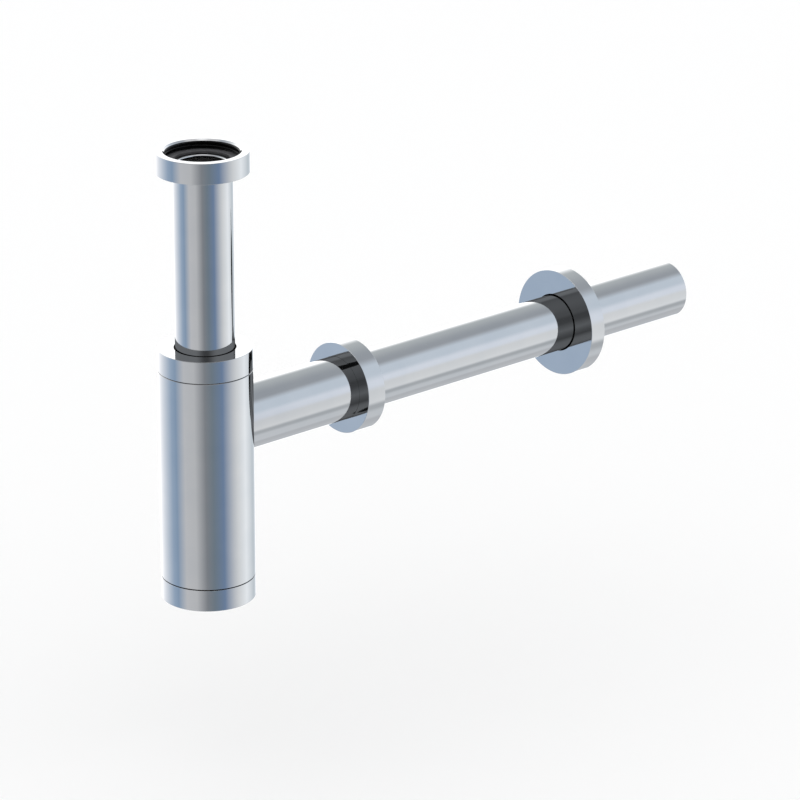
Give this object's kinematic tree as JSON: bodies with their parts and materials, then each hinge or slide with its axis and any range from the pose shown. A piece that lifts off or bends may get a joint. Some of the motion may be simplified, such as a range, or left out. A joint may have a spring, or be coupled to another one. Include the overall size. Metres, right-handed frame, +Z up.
{
  "type": "bottle trap",
  "caption": "Round chrome bottle trap for a wash basin: coupling nut, dipping inlet pipe, bottle with screwed base, sliding outlet pipe and loose wall flange.",
  "frame": {"origin": "centre of the coupling nut's thread at its first turn, where the basin waste screws in", "axes": "+Z up along the inlet pipe, +X along the outlet pipe to the wall, +Y across"},
  "size_m": [0.3735, 0.061, 0.251],
  "materials": {
    "polished_chrome": "mirror polished chrome plate on brass",
    "turned_brass": "turned, unplated",
    "black_rubber": "matt moulded",
    "white_nylon": "matt"
  },
  "bodies": {
    "inlet_pipe": {"inlet_pipe": "polished_chrome", "inlet_flange": "polished_chrome", "inlet_washer": "black_rubber"},
    "coupling_nut": {"coupling_nut": "polished_chrome"},
    "collar_seal": {"collar_seal": "black_rubber"},
    "bottle": {"body_shell": "polished_chrome", "neck_ring": "turned_brass", "outlet_spigot": "polished_chrome", "base_ring": "turned_brass", "outlet_seal": "black_rubber"},
    "collar_slip_ring": {"collar_slip_ring": "white_nylon"},
    "collar_nut": {"collar_nut": "polished_chrome"},
    "base_gasket": {"base_gasket": "black_rubber"},
    "base_cap": {"base_cap": "polished_chrome"},
    "outlet_slip_ring": {"outlet_slip_ring": "white_nylon"},
    "outlet_nut": {"outlet_nut": "polished_chrome"},
    "outlet_pipe": {"outlet_pipe": "polished_chrome"},
    "wall_flange": {"wall_flange": "polished_chrome", "flange_grip_ring": "black_rubber"}
  },
  "joints": [
    {"name": "coupling_nut_turn", "type": "hinge", "parent": "inlet_pipe", "child": "coupling_nut", "pos_m": [0, 0, 0], "axis": [0, 0, 1], "continuous": true},
    {"name": "bottle_height", "type": "slide", "parent": "inlet_pipe", "child": "collar_seal", "axis": [0, 0, 1], "range_m": [-0.04, 0.015]},
    {"name": "bottle_swivel", "type": "hinge", "parent": "collar_seal", "child": "bottle", "pos_m": [0, 0, -0.1535], "axis": [0, 0, 1], "continuous": true},
    {"name": "collar_nut_lift", "type": "slide", "parent": "bottle", "child": "collar_slip_ring", "axis": [0, 0, 1], "range_m": [0, 0.006]},
    {"name": "collar_nut_turn", "type": "hinge", "parent": "collar_slip_ring", "child": "collar_nut", "pos_m": [0, 0, -0.1135], "axis": [0, 0, 1], "range_deg": [0, 1440]},
    {"name": "base_cap_drop", "type": "slide", "parent": "bottle", "child": "base_gasket", "axis": [0, 0, -1], "range_m": [0, 0.0068]},
    {"name": "base_cap_turn", "type": "hinge", "parent": "base_gasket", "child": "base_cap", "pos_m": [0, 0, -0.2435], "axis": [0, 0, -1], "range_deg": [0, 1620]},
    {"name": "outlet_nut_run", "type": "slide", "parent": "bottle", "child": "outlet_slip_ring", "axis": [1, 0, 0], "range_m": [0, 0.0068]},
    {"name": "outlet_nut_turn", "type": "hinge", "parent": "outlet_slip_ring", "child": "outlet_nut", "pos_m": [0.0995, 0, -0.1535], "axis": [1, 0, 0], "range_deg": [0, 1620]},
    {"name": "outlet_pipe_reach", "type": "slide", "parent": "bottle", "child": "outlet_pipe", "axis": [1, 0, 0], "range_m": [-0.015, 0.03]},
    {"name": "wall_flange_slide", "type": "slide", "parent": "outlet_pipe", "child": "wall_flange", "axis": [1, 0, 0], "range_m": [-0.125, 0.07]}
  ],
  "couplings": [
    {"joint": "collar_nut_lift", "follows": "collar_nut_turn", "m_per_rad": 0.00023873},
    {"joint": "base_cap_drop", "follows": "base_cap_turn", "m_per_rad": 0.00023873},
    {"joint": "outlet_nut_run", "follows": "outlet_nut_turn", "m_per_rad": 0.00023873}
  ]
}
